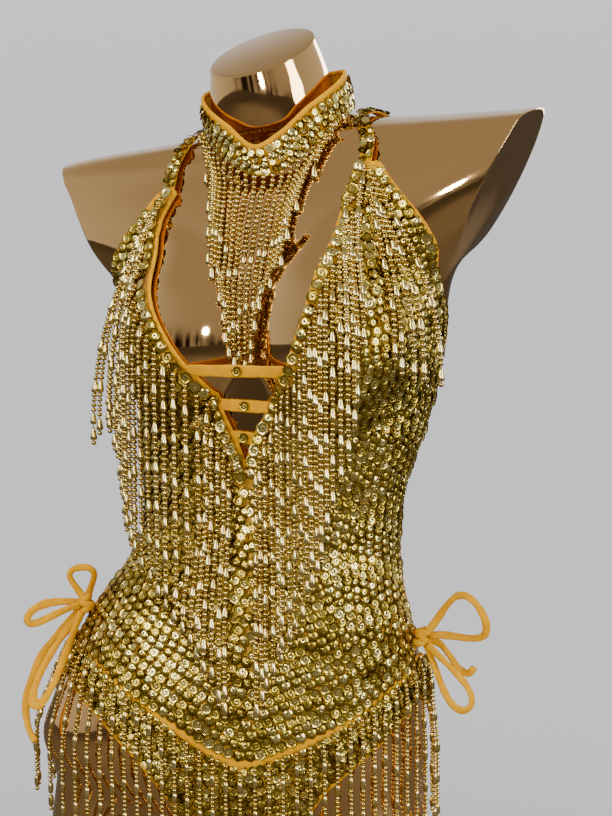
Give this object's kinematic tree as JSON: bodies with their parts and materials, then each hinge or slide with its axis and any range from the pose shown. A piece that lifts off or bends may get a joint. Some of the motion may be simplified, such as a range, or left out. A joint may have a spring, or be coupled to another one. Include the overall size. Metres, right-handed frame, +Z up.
{
  "type": "sequin bodysuit on torso dress form",
  "caption": "Sequined halter bodysuit with bead fringes, choker collar and side ties, worn by a limbless metallic torso form that stands on two thigh stubs.",
  "frame": {"origin": "on the ground under the middle of the form and its suit, the loose ties left out", "axes": "+Z up the body, -Y the way the wearer faces, so the wearer's left side is at +X"},
  "size_m": [0.4465, 0.2666, 0.846],
  "materials": {
    "form_chrome": "polished champagne-gold metallised plastic",
    "sequin_cloth": "stretch mesh covered in gold cup sequins",
    "glass_beads": "metallised gold beads on thread",
    "spandex": "bright yellow-orange stretch jersey"
  },
  "bodies": {
    "root": {"torso_form": "form_chrome", "front_right": "sequin_cloth", "front_left": "sequin_cloth", "brief_front": "sequin_cloth", "brief_back": "sequin_cloth", "strap_right": "spandex", "strap_left": "spandex", "back_band": "spandex", "ladder_strap_top": "spandex", "ladder_strap_middle": "spandex", "ladder_strap_low": "spandex", "collar": "sequin_cloth", "bust_fringe_right": "glass_beads", "bust_fringe_left": "glass_beads", "hem_fringe_front": "glass_beads", "hem_fringe_back": "glass_beads", "collar_fringe": "glass_beads", "tie_right_knot": "spandex", "tie_left_knot": "spandex", "tie_right_loop_up": "spandex", "tie_right_loop_side": "spandex", "tie_right_loop_down": "spandex", "tie_left_loop_up": "spandex", "tie_left_loop_down": "spandex", "tie_right_tail": "spandex", "tie_left_tail": "spandex"}
  },
  "joints": []
}
